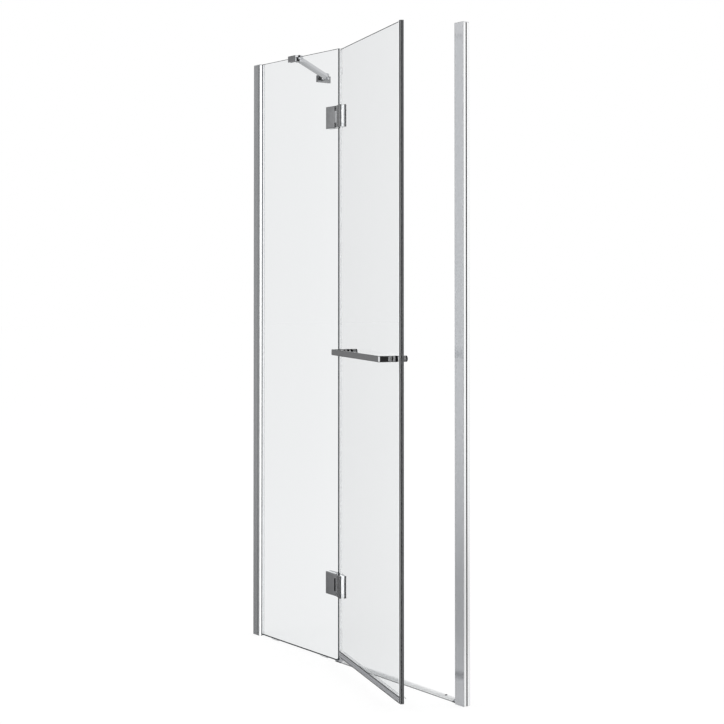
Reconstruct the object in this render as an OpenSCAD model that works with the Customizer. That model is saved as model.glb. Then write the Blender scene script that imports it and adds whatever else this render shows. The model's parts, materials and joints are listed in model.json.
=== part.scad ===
// In-line hinged shower door: a fixed glass panel, a hinged glass door and two wall profiles.
// Millimetres, +Z up. X runs along the door plane from the left wall to the right wall,
// -Y is the outside of the shower, and the origin is on the left wall at floor level,
// in the middle of the glass thickness.

/* [Overall] */
// Width from wall to wall
overall_w = 1088; // [1040:1:1200]
// Height of the wall profiles and of the fixed glass above the floor
overall_h = 1950; // [1850:1:2050]
// Width of the fixed glass panel, measured from the left wall
fixed_panel_w = 478; // [420:1:520]
// Thickness of both glass panes
glass_t = 6; // [5:0.5:8]
// Gap between the floor and the fixed glass
glass_floor_gap = 3; // [2:0.5:5]
// How far the door stands open
door_open = 18.4; // [0:0.1:90]

/* [Wall profiles] */
// Width of the front face of each wall profile
profile_w = 38; // [34:1:46]
// Depth of each wall profile
profile_d = 24; // [22:0.5:30]
// Wall thickness of the visible profiles
profile_t = 1.4; // [1.2:0.1:1.8]
// Gap between the visible profile and the wall
wall_gap = 1; // [0.5:0.1:2]
// Gap between the inner wall channel's ends and the profile's partition web
channel_end_gap = 2.1; // [1.5:0.1:4]
// Wall thickness of the inner wall channel
channel_t = 1.5; // [1.2:0.1:2]
// Thickness of the channel's web against the wall
channel_web = 1.8; // [1.5:0.1:3]
// Sliding clearance between channel and profile
profile_play = 0.2; // [0.1:0.05:0.4]
// Height of the lowest wall screw hole
wall_hole_low = 150; // [100:1:200]
// Distance between neighbouring wall screw holes
wall_hole_pitch = 550; // [500:1:560]
// Radius of a wall screw hole
wall_hole_r = 2.6; // [2.2:0.1:3]
// Distance of the partition web from the profile's inner end
pocket_depth = 12.5; // [11:0.5:13]
// How far the fixed glass reaches into its profile
glass_bite = 9; // [7:0.5:10]
// Gap between a profile's lip and the glass, filled by the gasket
lip_gap = 2; // [1.5:0.1:2.5]
// Width of the gasket lip that lies on the glass
gasket_lip_w = 10; // [5:0.5:12]
// Thickness of the gasket lip
gasket_lip_t = 3; // [2.2:0.1:4]
// Thickness of the top end caps
cap_t = 2; // [1.5:0.1:3]

/* [Profile screws] */
// Radius of the shank of a profile screw
pscrew_r = 1.9; // [1.5:0.1:2.2]
// Length of a profile screw under its head
pscrew_len = 7; // [5:0.5:8]
// Radius of the screw's head
pscrew_head_r = 3.4; // [3:0.1:3.6]
// Height of the screw's head
pscrew_head_h = 1.8; // [1.4:0.1:2.2]
// Radius of the snap cover over a screw
cover_r = 5.2; // [4.8:0.1:6]
// Height of the snap cover
cover_h = 3.2; // [3:0.1:4]
// Distance of the profile screws from the wall
pscrew_x = 14; // [12:0.5:15]
// Height of the lowest profile screw
pscrew_low = 200; // [100:5:260]
// Distance between profile screws
pscrew_pitch = 775; // [700:5:800]

/* [Door] */
// Gap between the fixed glass and the door glass when closed
glass_gap = 13.5; // [13:0.1:15]
// Height of the door glass's lower edge above the floor
door_bottom = 26.5; // [25.5:0.5:32]
// How much lower the door glass ends than the fixed glass
door_top_drop = 4.5; // [1:0.5:6]
// Gap between the door's closing edge and the strike seal when closed
closing_gap = 0.6; // [0.4:0.1:1]

/* [Hinges] */
// Height of the middle of the lower hinge
hinge_low_z = 245; // [200:1:300]
// Distance from the top of the fixed glass down to the middle of the upper hinge
hinge_top_drop = 219; // [180:1:320]
// Height of a hinge
hinge_h = 70; // [64:1:80]
// Distance from the pin to the fixed leaf's far edge
leaf_fixed_w = 54; // [46:1:56]
// Distance from the pin to the door leaf's far edge
leaf_door_w = 45; // [42:1:52]
// Thickness of a leaf's front plate
leaf_t = 5; // [4:0.5:6]
// Distance of the pin beyond the edge of the fixed glass
pin_past_glass = 0.5; // [0.3:0.1:1]
// Distance from the leaf's front face to the middle of the pin
pin_depth = 5; // [4.8:0.1:6]
// Thickness of the spacer between the front plate and the glass
spacer_t = 5.2; // [4:0.1:6.5]
// Height of that spacer
spacer_h = 46; // [40:1:56]
// Thickness of each hinge gasket
hinge_gasket_t = 0.8; // [0.5:0.1:1.2]
// Thickness of the inner clamp plates
clamp_plate_t = 7; // [6:0.5:9]
// Radius of the hinge knuckles
knuckle_r = 5; // [4.6:0.1:5.4]
// Height of the middle knuckle
knuckle_mid_h = 38; // [34:1:42]
// Distance from the pin to a plate's edge beside the other leaf's knuckle
knuckle_relief = 7.5; // [7:0.1:9]
// Radius of the hinge pin
pin_r = 2.5; // [2:0.1:3]
// Running clearance of the pin in its bushes
pin_play = 0.05; // [0.03:0.01:0.08]
// Fit of the pin in the fixed knuckles
pin_fit = 0.02; // [0.01:0.01:0.03]
// Wall thickness of a hinge bush
bush_t = 0.8; // [0.6:0.1:1]
// Length of a hinge bush
bush_len = 10; // [6:0.5:11.5]
// Thickness of a bush's flange between two knuckles
bush_flange_t = 0.8; // [0.6:0.1:1.2]
// Gap between the knuckles of the two leaves beside a flange
knuckle_play = 0.3; // [0.2:0.05:0.5]
// Distance from the pin to the screws of the fixed leaf
screw_fixed_x = 27; // [24:0.5:30]
// Distance from the pin to the screws of the door leaf
screw_door_x = 27; // [25:0.5:30]
// Distance between the two screws of a leaf
screw_pitch = 28; // [24:1:32]
// Radius of a hinge screw
hscrew_r = 2.5; // [2:0.1:3]
// Radius of the countersunk head
hscrew_head_r = 4.8; // [4.4:0.1:5.2]
// Height of the countersunk head
hscrew_head_h = 2.6; // [2.2:0.1:3]
// Radius of the holes in the glass
glass_hole_r = 5.5; // [5.2:0.1:6]

/* [Door seals] */
// Thickness of a seal's plastic wall
seal_t = 1.1; // [0.8:0.1:1.2]
// How far a seal's clip reaches over the glass
seal_clip_w = 12; // [8:0.5:14]
// How far the magnetic seal's clip reaches over the glass
magnet_clip_w = 8; // [6:0.5:10]
// Thickness of the magnetic seal's block
magnet_block_t = 12.4; // [11:0.1:13]
// Width of the magnetic seal's block beyond the glass edge
magnet_block_w = 11; // [9:0.5:13]
// Width and thickness of a magnet strip
magnet_strip = [7, 2.4]; // [1:0.1:8]
// How far the strike seal stands out of its profile
strike_nose = 4; // [3:0.5:6]
// Thickness of the strike seal
strike_seal_t = 10.6; // [9:0.1:11]
// Gap between a hinge and the end of a seal
seal_end_gap = 1; // [0.5:0.1:2]

/* [Bottom rail] */
// Height of the rail's lower edge above the floor
rail_bottom = 20.5; // [16:0.5:22]
// Height of the rail's outer face
rail_h = 19; // [17:0.5:24]
// Wall thickness of the rail
rail_t = 1.8; // [1.4:0.1:2.2]
// Gap between the rail and the glass, filled by the seal's clip
rail_gap = 1.3; // [1.2:0.1:1.8]
// Thickness of the rail's end caps
rail_cap_t = 2; // [1.5:0.1:3]
// Radius of the curved drip fin
fin_r = 9; // [7.5:0.25:9.5]
// Thickness of the drip fin
fin_t = 1.2; // [0.8:0.1:1.5]

/* [Threshold] */
// Depth of the threshold strip
sill_d = 30; // [24:0.5:34]
// Height of the threshold strip
sill_h = 7.5; // [6:0.5:9]
// How far its front edge lies in front of the middle of the glass
sill_front = 4; // [3.5:0.5:8]
// Height of its upright front edge
sill_edge = 2.5; // [2:0.1:3]
// Wall thickness of the strip
sill_t = 1.5; // [1.2:0.1:1.8]
// How much the end blocks stand out around the strip
block_over = 1; // [0.6:0.1:1.5]
// Length of the left end block
block_left_w = 29; // [24:1:36]
// How far the left end block reaches past the fixed glass
block_left_past = 16; // [12:1:20]
// Length of the right end block
block_right_w = 19; // [14:1:30]
// Length of the tongue that holds a block in the strip
tongue_len = 56; // [50:1:70]
// Distance of the screws from the end blocks
sscrew_in = 46; // [20:1:46]
// Radius of the screws in the threshold
sscrew_r = 1.5; // [1.2:0.1:1.8]
// Radius of their heads
sscrew_head_r = 3; // [2.6:0.1:3.4]
// Height of their heads
sscrew_head_h = 1.2; // [1:0.1:1.4]

/* [Handle] */
// Height of the middle of the handle
handle_z = 987; // [900:1:1100]
// Distance between the middles of the two posts
handle_pitch = 430; // [400:1:480]
// Distance from the edge of the door glass that closes to the second post
handle_edge = 22; // [18.5:0.5:60]
// Height of the flat bar
bar_h = 18; // [14:0.5:24]
// Thickness of the flat bar
bar_t = 8; // [6:0.5:10]
// Distance from the glass to the front of the bar
bar_reach = 58; // [46:1:75]
// Radius of the bar's bends
bar_bend = 6; // [4:0.5:12]
// Length of the round base of a post
base_len = 26; // [16:0.5:28]
// Distance from the bar to the groove around a base
groove_in = 8; // [4:0.5:12]
// Width of that groove
groove_w = 3; // [1.5:0.5:4.5]
// Radius of the base and of the inner knob
base_r = 9; // [8:0.5:10]
// Length of the inner knob
knob_len = 22; // [14:0.5:24]
// Thickness of the washers on the glass
washer_t = 0.8; // [0.5:0.1:1.2]
// Radius of the handle bolts
hbolt_r = 3; // [2.5:0.1:3.2]
// Depth of a handle bolt in the post
hbolt_in = 12; // [10:0.5:20]
// Depth of a handle bolt in the knob
hbolt_knob = 12; // [8:0.5:13]

/* [Brace] */
// Distance of the glass clamp from the left wall
clamp_x = 223; // [180:1:280]
// Width of the glass clamp
clamp_w = 43; // [36:1:50]
// Height of the clamp above the glass
clamp_over = 7; // [5:0.5:9]
// Height of the clamp below the edge of the glass
clamp_under = 13; // [12.5:0.5:20]
// Thickness of a jaw of the clamp
jaw_t = 4.4; // [4:0.1:6]
// Thickness of the liner between a jaw and the glass
liner_t = 0.6; // [0.4:0.1:1]
// Radius of the clamp's grub screws
clamp_screw_r = 1.5; // [1.2:0.1:2]
// Distance of the grub screws below the top of the glass
clamp_screw_drop = 9.5; // [8:0.5:10.5]
// Distance of the grub screws from the ends of the clamp
clamp_screw_in = 8; // [6:0.5:9]
// Radius of the brace bar
brace_r = 11; // [8:0.25:11.5]
// Wall thickness of the brace bar
brace_t = 1.5; // [1:0.1:1.8]
// Height of the bar's wall end below the top of the glass
brace_drop = 16; // [14:0.5:24]
// How much higher the bar's glass end is than its wall end
brace_rise = 16; // [10:0.5:18]
// Distance of the wall flange from the glass
flange_y = 285; // [260:1:340]
// Length of the wall flange
flange_w = 59; // [50:1:64]
// Height of the wall flange
flange_h = 24; // [22:1:34]
// How far the middle of the flange lies below the bar's wall end
flange_drop = 7; // [0:0.5:8]
// Thickness of the wall flange
flange_t = 6; // [4:0.5:8]
// Distance between the holes of the wall flange
flange_pitch = 42; // [38:1:44]
// Radius of the holes of the wall flange
flange_hole_r = 2.4; // [2:0.1:2.6]
// Height of the tongue that each fork holds
tongue_h = 6; // [5:0.5:7]
// Distance from a flange or jaw to its pivot pin
pivot_out = 13.5; // [12.5:0.5:15]
// Radius of the pivot pins
pivot_r = 2.5; // [2:0.1:3]
// Distance from the pivot to the end of the tube
fork_len = 18; // [16:0.5:24]
// Length of a fork's spigot in the tube
spigot_len = 16; // [10:1:24]

/* [Hidden] */

$fn = 48;
eps = 0.01;
// How far a cut runs past a face, and a joined form into its neighbour
past = 1;
// Clearance of a part that is put in by hand
fit = 0.1;
// Room at the tip of a screw or bolt
tip_gap = 0.5;
// Chamfer of round covers and knobs
round_edge = 1;
// Depth of the groove around a handle base
groove_depth = 1.2;
// Length and width of a cross slot
cross_slot = [3.6, 0.8];
// Radius and depth of the hexagon sockets of the screws
sscrew_socket = [1.2, 0.6];
clamp_socket = [0.9, 1.2];
hscrew_socket = [1.7, 2];

glass_half = glass_t / 2;
profile_half = profile_d / 2;
strike_x = overall_w - profile_w;
profile_top = overall_h - cap_t;
channel_reach = profile_w - pocket_depth - profile_t - channel_end_gap;

hinge_high_z = overall_h - hinge_top_drop;
axis_x = fixed_panel_w + pin_past_glass;
leaf_front = -glass_half - hinge_gasket_t - spacer_t - leaf_t;
axis_y = leaf_front + pin_depth;
door_x = fixed_panel_w + glass_gap;
door_end = strike_x - strike_nose - closing_gap - magnet_block_w - fit;
door_top = overall_h - door_top_drop;
seal_clear = 0.1;
sleeve_end = 1;
foot_gap = 0.4;
seal_foot = sill_h + block_over + foot_gap;

// Heights of the repeated wall screws and profile screws
wall_hole_zs = [for (i = [0:3]) wall_hole_low + i * wall_hole_pitch];
pscrew_zs = [for (i = [0:2]) pscrew_low + i * pscrew_pitch];

// Colours of the materials
c_alu = [0.72, 0.73, 0.75];
c_chrome = [0.62, 0.63, 0.65];
c_glass = [0.88, 0.92, 0.93, 0.45];
c_clear = [0.85, 0.88, 0.9, 0.7];
c_rubber = [0.12, 0.12, 0.13];
c_steel = [0.55, 0.56, 0.58];

// Places what belongs to the door, drawn as closed, at the angle at which the door stands open
module on_door() {
    translate([axis_x, axis_y, 0]) rotate([0, 0, -door_open]) translate([-axis_x, -axis_y, 0])
        children();
}

// A box between two corners
module block(a, b) {
    translate(a) cube(b - a);
}

// A cylinder along Y from y0 to y1
module rod_y(r, x, z, y0, y1) {
    translate([x, y0, z]) rotate([-90, 0, 0]) cylinder(r = r, h = y1 - y0);
}

// A cylinder along X from x0 to x1
module rod_x(r, y, z, x0, x1) {
    translate([x0, y, z]) rotate([0, 90, 0]) cylinder(r = r, h = x1 - x0);
}

// Wall profiles. Drawn for the left wall; the right one is the mirror image.
module at_right_wall() {
    translate([overall_w, 0, 0]) mirror([1, 0, 0]) children();
}

module wall_channel_shape() {
    outer = profile_half - profile_t - profile_play;
    difference() {
        block([0, -outer, 0], [channel_reach, outer, profile_top - profile_play]);
        block([channel_web, -outer + channel_t, -eps],
              [channel_reach + eps, outer - channel_t, overall_h]);
        for (z = wall_hole_zs) rod_x(wall_hole_r, 0, z, -eps, channel_web + eps);
        for (z = pscrew_zs) rod_y(pscrew_r + fit, pscrew_x, z, 0, profile_half);
    }
}

module profile_shape() {
    inner = profile_half - profile_t;
    web_x = profile_w - pocket_depth;
    lip = glass_half + lip_gap;
    difference() {
        block([wall_gap, -profile_half, 0], [profile_w, profile_half, profile_top]);
        block([0, -inner, -eps], [web_x - profile_t, inner, overall_h]);
        block([web_x, -inner, -eps], [profile_w - profile_t, inner, overall_h]);
        block([web_x, -lip, -eps], [profile_w + eps, lip, overall_h]);
        for (z = pscrew_zs) rod_y(pscrew_r + fit, pscrew_x, z, 0, profile_half + eps);
    }
}

// A cap with two tongues beside the partition web, and a slot for the fixed glass
module cap_shape(slot) {
    tongue_l = 10;
    tongue_w = 4;
    play = 0.4;
    tongue_y = profile_half - profile_t - play - tongue_w;
    difference() {
        union() {
            block([wall_gap, -profile_half, profile_top], [profile_w, profile_half, overall_h]);
            for (s = [0, 1]) mirror([0, s, 0])
                block([channel_reach + play, tongue_y, profile_top - tongue_l],
                      [channel_reach + channel_end_gap - fit, tongue_y + tongue_w,
                       profile_top + eps]);
        }
        if (slot > 0) block([profile_w - glass_bite - fit, -slot, 0],
                            [profile_w + eps, slot, overall_h + past]);
    }
}

module profile_screw_set() {
    for (z = pscrew_zs) difference() {
        union() {
            rod_y(pscrew_r, pscrew_x, z, profile_half - pscrew_len, profile_half + eps);
            rod_y(pscrew_head_r, pscrew_x, z, profile_half, profile_half + pscrew_head_h);
        }
        for (a = [0, 90]) translate([pscrew_x, profile_half + pscrew_head_h, z])
            rotate([0, a, 0])
                cube([cross_slot[0], 2 * cross_slot[1], cross_slot[1]], center = true);
    }
}

module cover_set() {
    for (z = pscrew_zs) difference() {
        translate([pscrew_x, profile_half, z]) rotate([-90, 0, 0]) {
            cylinder(r = cover_r, h = cover_h - round_edge);
            translate([0, 0, cover_h - round_edge])
                cylinder(r1 = cover_r, r2 = cover_r - round_edge, h = round_edge);
        }
        rod_y(pscrew_head_r + fit, pscrew_x, z, 0, profile_half + pscrew_head_h + fit);
    }
}

module left_wall_channel() {
    color(c_alu) wall_channel_shape();
}

module left_glass_profile() {
    color(c_alu) profile_shape();
}

module left_profile_cap() {
    color(c_alu) cap_shape(glass_half + fit);
}

module left_profile_screws() {
    color(c_steel) profile_screw_set();
}

module left_screw_covers() {
    color(c_chrome) cover_set();
}

// One gasket on each side of the fixed glass: a body in the pocket, a neck and a lip on the glass
module left_glass_gaskets() {
    root_w = pocket_depth / 2;
    root_x = profile_w - profile_t - fit;
    inner = profile_half - profile_t;
    lip = glass_half + lip_gap;
    color(c_rubber) for (s = [0, 1]) mirror([0, s, 0]) {
        block([root_x - root_w, glass_half, 0], [root_x, inner - fit, profile_top]);
        block([root_x - past, glass_half, 0], [profile_w + past, lip - fit, profile_top]);
        block([profile_w + fit, glass_half, 0],
              [profile_w + gasket_lip_w, glass_half + gasket_lip_t, profile_top]);
    }
}

// Fixed glass with the holes for the hinge screws
module fixed_glass() {
    color(c_glass) difference() {
        block([profile_w - glass_bite, -glass_half, glass_floor_gap],
              [fixed_panel_w, glass_half, overall_h]);
        for (z = [hinge_low_z, hinge_high_z], s = [-1, 1])
            rod_y(glass_hole_r, axis_x - screw_fixed_x, z + s * screw_pitch / 2,
                  -glass_t, glass_t);
    }
}

module glass_setting_blocks() {
    block_w = 40;
    inset = 60;
    color(c_clear) for (x = [profile_w + inset, fixed_panel_w - inset - block_w])
        block([x, -glass_half, 0], [x + block_w, glass_half, glass_floor_gap]);
}

module right_wall_channel() {
    color(c_alu) at_right_wall() wall_channel_shape();
}

module right_strike_profile() {
    color(c_alu) at_right_wall() profile_shape();
}

module right_profile_cap() {
    color(c_alu) at_right_wall() cap_shape(0);
}

module right_profile_screws() {
    color(c_steel) at_right_wall() profile_screw_set();
}

module right_screw_covers() {
    color(c_chrome) at_right_wall() cover_set();
}

// Magnetic seal in the strike profile, with a sleeve for its magnet strip
module strike_magnet_seal() {
    lip = glass_half + lip_gap;
    inner = profile_half - profile_t;
    root = strike_x + profile_t + fit;
    wall = 2;
    color(c_clear) difference() {
        union() {
            block([root, -inner + wall, seal_foot],
                  [strike_x + pocket_depth - fit, inner - wall, profile_top]);
            block([strike_x - past, -lip + fit, seal_foot],
                  [root + past, lip - fit, profile_top]);
            block([strike_x - strike_nose, -strike_seal_t / 2, seal_foot],
                  [strike_x - fit, strike_seal_t / 2, profile_top]);
        }
        block([root + wall, -inner + 2 * wall, 0],
              [strike_x + pocket_depth - wall, inner - 2 * wall, overall_h]);
        strike_magnet_space(fit, past);
    }
}

module strike_magnet_space(grow, over) {
    mid = strike_x - strike_nose / 2;
    w = magnet_strip[1] / 2 + grow;
    t = magnet_strip[0] / 2 + grow;
    block([mid - w, -t, seal_foot + sleeve_end], [mid + w, t, profile_top + over]);
}

module strike_magnet_strip() {
    color(c_rubber) strike_magnet_space(0, 0);
}

// Threshold: a low convex strip between two end blocks
sill_back = sill_d - sill_front;
sill_mid = (sill_back - sill_front) / 2;
sill_x0 = fixed_panel_w + block_left_past;
sill_x1 = strike_x - block_right_w;

// The section grows outwards by over on its sides and its top
module sill_shape(x0, x1, over) {
    half = sill_d / 2 + over;
    rise = sill_h - sill_edge;
    arc_r = (half * half + rise * rise) / (2 * rise);
    intersection() {
        block([x0, sill_mid - half, 0], [x1, sill_mid + half, sill_h + over]);
        rod_x(arc_r, sill_mid, sill_h + over - arc_r, x0 - eps, x1 + eps);
    }
}

module sill_screw_space(x, grow) {
    top = sill_h;
    translate([x, sill_mid, 0]) {
        translate([0, 0, sill_t]) cylinder(r = sscrew_r + grow, h = top);
        translate([0, 0, top - sscrew_head_h]) cylinder(r = sscrew_head_r + grow, h = top);
    }
}

sill_screw_xs = [sill_x0 + sscrew_in, sill_x1 - sscrew_in];

module threshold_strip() {
    color(c_alu) difference() {
        sill_shape(sill_x0, sill_x1, 0);
        sill_shape(sill_x0 - past, sill_x1 + past, -sill_t);
        for (x = sill_screw_xs) sill_screw_space(x, fit);
    }
}

module sill_tongue(x0, x1) {
    play = 0.15;
    difference() {
        sill_shape(x0, x1, -sill_t - play);
        for (x = sill_screw_xs) sill_screw_space(x, fit / 2);
    }
}

module threshold_left_block() {
    over = block_over;
    color(c_alu) {
        difference() {
            sill_shape(sill_x0 - block_left_w, sill_x0, over);
            block([0, -glass_half - fit, -eps],
                  [fixed_panel_w + fit, glass_half + fit, overall_h]);
        }
        sill_tongue(sill_x0 - past, sill_x0 + tongue_len);
    }
}

module threshold_right_block() {
    color(c_alu) {
        sill_shape(sill_x1, strike_x, block_over);
        sill_tongue(sill_x1 - tongue_len, sill_x1 + past);
    }
}

module threshold_screws() {
    color(c_rubber) for (x = sill_screw_xs) translate([x, sill_mid, 0]) difference() {
        union() {
            translate([0, 0, sill_t + 2 * fit])
                cylinder(r = sscrew_r, h = sill_h - sill_t - sscrew_head_h);
            translate([0, 0, sill_h - sscrew_head_h + fit])
                cylinder(r = sscrew_head_r, h = sscrew_head_h - fit);
        }
        translate([0, 0, sill_h - sscrew_socket[1]])
            cylinder(r = sscrew_socket[0], h = past, $fn = 6);
    }
}

// Brace from the top of the fixed glass to the left wall
brace_wall_z = overall_h - brace_drop;
brace_glass_z = brace_wall_z + brace_rise;
flange_z = brace_wall_z - flange_drop;
jaw_y = glass_half + liner_t + jaw_t;
pivot_glass = [clamp_x, jaw_y + pivot_out, brace_glass_z];
pivot_wall = [flange_t + pivot_out, flange_y, brace_wall_z];
brace_run = pivot_wall - pivot_glass;
brace_len = norm(brace_run);
brace_angle = atan2(brace_run[1], brace_run[0]);
brace_tilt = asin(brace_rise / brace_len);

// A flat tongue from a face to the pivot, as seen from above with the face at x = 0
module pivot_tongue() {
    translate([0, 0, -tongue_h / 2]) difference() {
        union() {
            translate([-past, -brace_r, 0]) cube([pivot_out + past, 2 * brace_r, tongue_h]);
            translate([pivot_out, 0, 0]) cylinder(r = brace_r, h = tongue_h);
        }
        translate([pivot_out, 0, -past])
            cylinder(r = pivot_r + fit, h = tongue_h + 2 * past);
    }
}

module brace_wall_flange() {
    color(c_chrome) {
        difference() {
            block([0, flange_y - flange_w / 2, flange_z - flange_h / 2],
                  [flange_t, flange_y + flange_w / 2, flange_z + flange_h / 2]);
            for (s = [-1, 1]) rod_x(flange_hole_r, flange_y + s * flange_pitch / 2,
                                    flange_z, -past, flange_t + past);
        }
        translate([flange_t, flange_y, brace_wall_z]) pivot_tongue();
    }
}

// The glass end at the origin and the wall end at the far side, both level
module at_glass_pivot() {
    translate(pivot_glass) rotate([0, 0, brace_angle]) children();
}

module at_wall_pivot() {
    translate(pivot_wall) rotate([0, 0, brace_angle + 180]) children();
}

// A fork around the tongue, with a spigot that rises by tilt into the tube
module fork_shape(tilt) {
    gap = tongue_h / 2 + knuckle_play;
    root = 3;
    body_end = fork_len - brace_r * sin(abs(tilt)) - fit;
    difference() {
        union() {
            translate([0, 0, -brace_r]) cylinder(r = brace_r, h = 2 * brace_r);
            translate([0, -brace_r, -brace_r]) cube([body_end, 2 * brace_r, 2 * brace_r]);
            rotate([0, -tilt, 0]) translate([body_end - root, 0, 0]) rotate([0, 90, 0])
                cylinder(r = brace_r - brace_t - fit, h = spigot_len + root);
        }
        translate([-brace_r - past, -brace_r - past, -gap])
            cube([2 * (brace_r + past), 2 * (brace_r + past), 2 * gap]);
        translate([0, 0, -brace_r - past])
            cylinder(r = pivot_r + fit, h = 2 * (brace_r + past));
    }
}

module brace_forks() {
    color(c_chrome) {
        at_glass_pivot() fork_shape(-brace_tilt);
        at_wall_pivot() fork_shape(brace_tilt);
    }
}

module brace_pivot_pins() {
    color(c_steel) {
        at_glass_pivot() translate([0, 0, -brace_r]) cylinder(r = pivot_r, h = 2 * brace_r);
        at_wall_pivot() translate([0, 0, -brace_r]) cylinder(r = pivot_r, h = 2 * brace_r);
    }
}

module brace_bar() {
    color(c_chrome) at_glass_pivot() rotate([0, brace_tilt, 0]) translate([fork_len, 0, 0])
        rotate([0, 90, 0]) difference() {
            cylinder(r = brace_r, h = brace_len - 2 * fork_len);
            translate([0, 0, -past])
                cylinder(r = brace_r - brace_t, h = brace_len - 2 * fork_len + 2 * past);
        }
}

clamp_screw_z = overall_h - clamp_screw_drop;
clamp_screw_dx = clamp_w / 2 - clamp_screw_in;

module brace_glass_clamp() {
    slot = glass_half + liner_t;
    color(c_chrome) difference() {
        union() {
            block([clamp_x - clamp_w / 2, -jaw_y, overall_h - clamp_under],
                  [clamp_x + clamp_w / 2, jaw_y, overall_h + clamp_over]);
            translate([clamp_x, jaw_y, brace_glass_z]) rotate([0, 0, 90]) pivot_tongue();
        }
        block([clamp_x - clamp_w, -slot, 0], [clamp_x + clamp_w, slot, overall_h + liner_t]);
        for (s = [-1, 1])
            rod_y(clamp_screw_r + fit, clamp_x + s * clamp_screw_dx, clamp_screw_z,
                  slot - past, jaw_y + past);
    }
}

module brace_clamp_liner() {
    inset = 1;
    half_w = clamp_w / 2 - inset;
    color(c_rubber) difference() {
        block([clamp_x - half_w, -glass_half - liner_t, overall_h - clamp_under + inset],
              [clamp_x + half_w, glass_half + liner_t, overall_h + liner_t]);
        block([clamp_x - clamp_w, -glass_half, 0], [clamp_x + clamp_w, glass_half, overall_h]);
    }
}

module brace_clamp_screws() {
    color(c_steel) for (s = [-1, 1]) difference() {
        rod_y(clamp_screw_r, clamp_x + s * clamp_screw_dx, clamp_screw_z,
              glass_half + liner_t, jaw_y);
        translate([clamp_x + s * clamp_screw_dx, jaw_y - clamp_socket[1], clamp_screw_z])
            rotate([-90, 0, 0])
                cylinder(r = clamp_socket[0], h = clamp_socket[1] + past, $fn = 6);
    }
}

// Hinges. Local frame: pin along Z at the origin, front face towards -Y, leaf towards +X.
local_back = leaf_t - pin_depth;
local_glass = local_back + spacer_t + hinge_gasket_t;
local_inner = local_glass + glass_t;
knuckle_split = knuckle_mid_h / 2;
flange_gap = knuckle_play + bush_flange_t;
gasket_in = 1;
dome_in = 2;
leaf_skin = 1.5;

// Height ranges of the knuckles of a leaf that carries the middle one or the two end ones
function knuckle_zs(middle) = middle
    ? [[-knuckle_split, knuckle_split]]
    : [[-hinge_h / 2, -knuckle_split - flange_gap], [knuckle_split + flange_gap, hinge_h / 2]];

module leaf_shape(w, screw_x, middle, bore) {
    dome_r = spacer_h / 2;
    dome_x = w - dome_in - dome_r;
    difference() {
        union() {
            block([knuckle_relief, -pin_depth, -hinge_h / 2], [w, local_back, hinge_h / 2]);
            intersection() {
                block([knuckle_relief, local_back - past, -dome_r],
                      [w, local_back + spacer_t, dome_r]);
                union() {
                    rod_y(dome_r, dome_x, 0, -pin_depth, local_back + spacer_t + past);
                    block([0, -pin_depth, -dome_r],
                          [dome_x, local_back + spacer_t + past, dome_r]);
                }
            }
            for (z = knuckle_zs(middle)) {
                translate([0, 0, z[0]]) cylinder(r = knuckle_r, h = z[1] - z[0]);
                block([0, -knuckle_r, z[0]], [knuckle_relief + past, local_back, z[1]]);
            }
        }
        translate([0, 0, -hinge_h]) cylinder(r = bore, h = 2 * hinge_h);
        for (s = [-1, 1])
            rod_y(hscrew_r + pin_fit, screw_x, s * screw_pitch / 2, leaf_skin - pin_depth,
                  local_back + spacer_t + past);
    }
}

module plate_shape(x0, w, screw_x) {
    y0 = local_inner + hinge_gasket_t;
    difference() {
        block([x0, y0, -hinge_h / 2], [w, y0 + clamp_plate_t, hinge_h / 2]);
        for (s = [-1, 1]) {
            rod_y(hscrew_r + fit, screw_x, s * screw_pitch / 2,
                  y0 - past, y0 + clamp_plate_t + past);
            translate([screw_x, y0 + clamp_plate_t + fit, s * screw_pitch / 2])
                rotate([90, 0, 0]) cylinder(r1 = hscrew_head_r + fit, r2 = hscrew_r + fit,
                                            h = hscrew_head_h + fit);
        }
    }
}

// Outer and inner gasket, the outer one with sleeves that keep the screws off the glass
module gasket_pair(x0, w, screw_x) {
    outer_y = local_back + spacer_t;
    outer_z = spacer_h / 2 - gasket_in;
    inner_z = hinge_h / 2 - gasket_in;
    sleeve_r = glass_hole_r - fit;
    difference() {
        union() {
            block([x0, outer_y, -outer_z], [w - dome_in - gasket_in, local_glass, outer_z]);
            for (s = [-1, 1])
                rod_y(sleeve_r, screw_x, s * screw_pitch / 2, outer_y, local_inner - fit);
        }
        for (s = [-1, 1])
            rod_y(hscrew_r + fit, screw_x, s * screw_pitch / 2,
                  outer_y - past, local_inner + past);
    }
    difference() {
        block([x0, local_inner, -inner_z],
              [w - gasket_in, local_inner + hinge_gasket_t, inner_z]);
        for (s = [-1, 1])
            rod_y(hscrew_r + fit, screw_x, s * screw_pitch / 2,
                  local_inner - past, local_inner + hinge_gasket_t + past);
    }
}

module hinge_screw_pair(screw_x) {
    y_end = local_inner + hinge_gasket_t + clamp_plate_t;
    for (s = [-1, 1]) difference() {
        union() {
            rod_y(hscrew_r, screw_x, s * screw_pitch / 2,
                  leaf_skin + tip_gap - pin_depth, y_end - past);
            translate([screw_x, y_end, s * screw_pitch / 2]) rotate([90, 0, 0])
                cylinder(r1 = hscrew_head_r, r2 = hscrew_r, h = hscrew_head_h);
        }
        translate([screw_x, y_end - hscrew_socket[1], s * screw_pitch / 2])
            rotate([-90, 0, 0])
                cylinder(r = hscrew_socket[0], h = hscrew_socket[1] + past, $fn = 6);
    }
}

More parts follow.
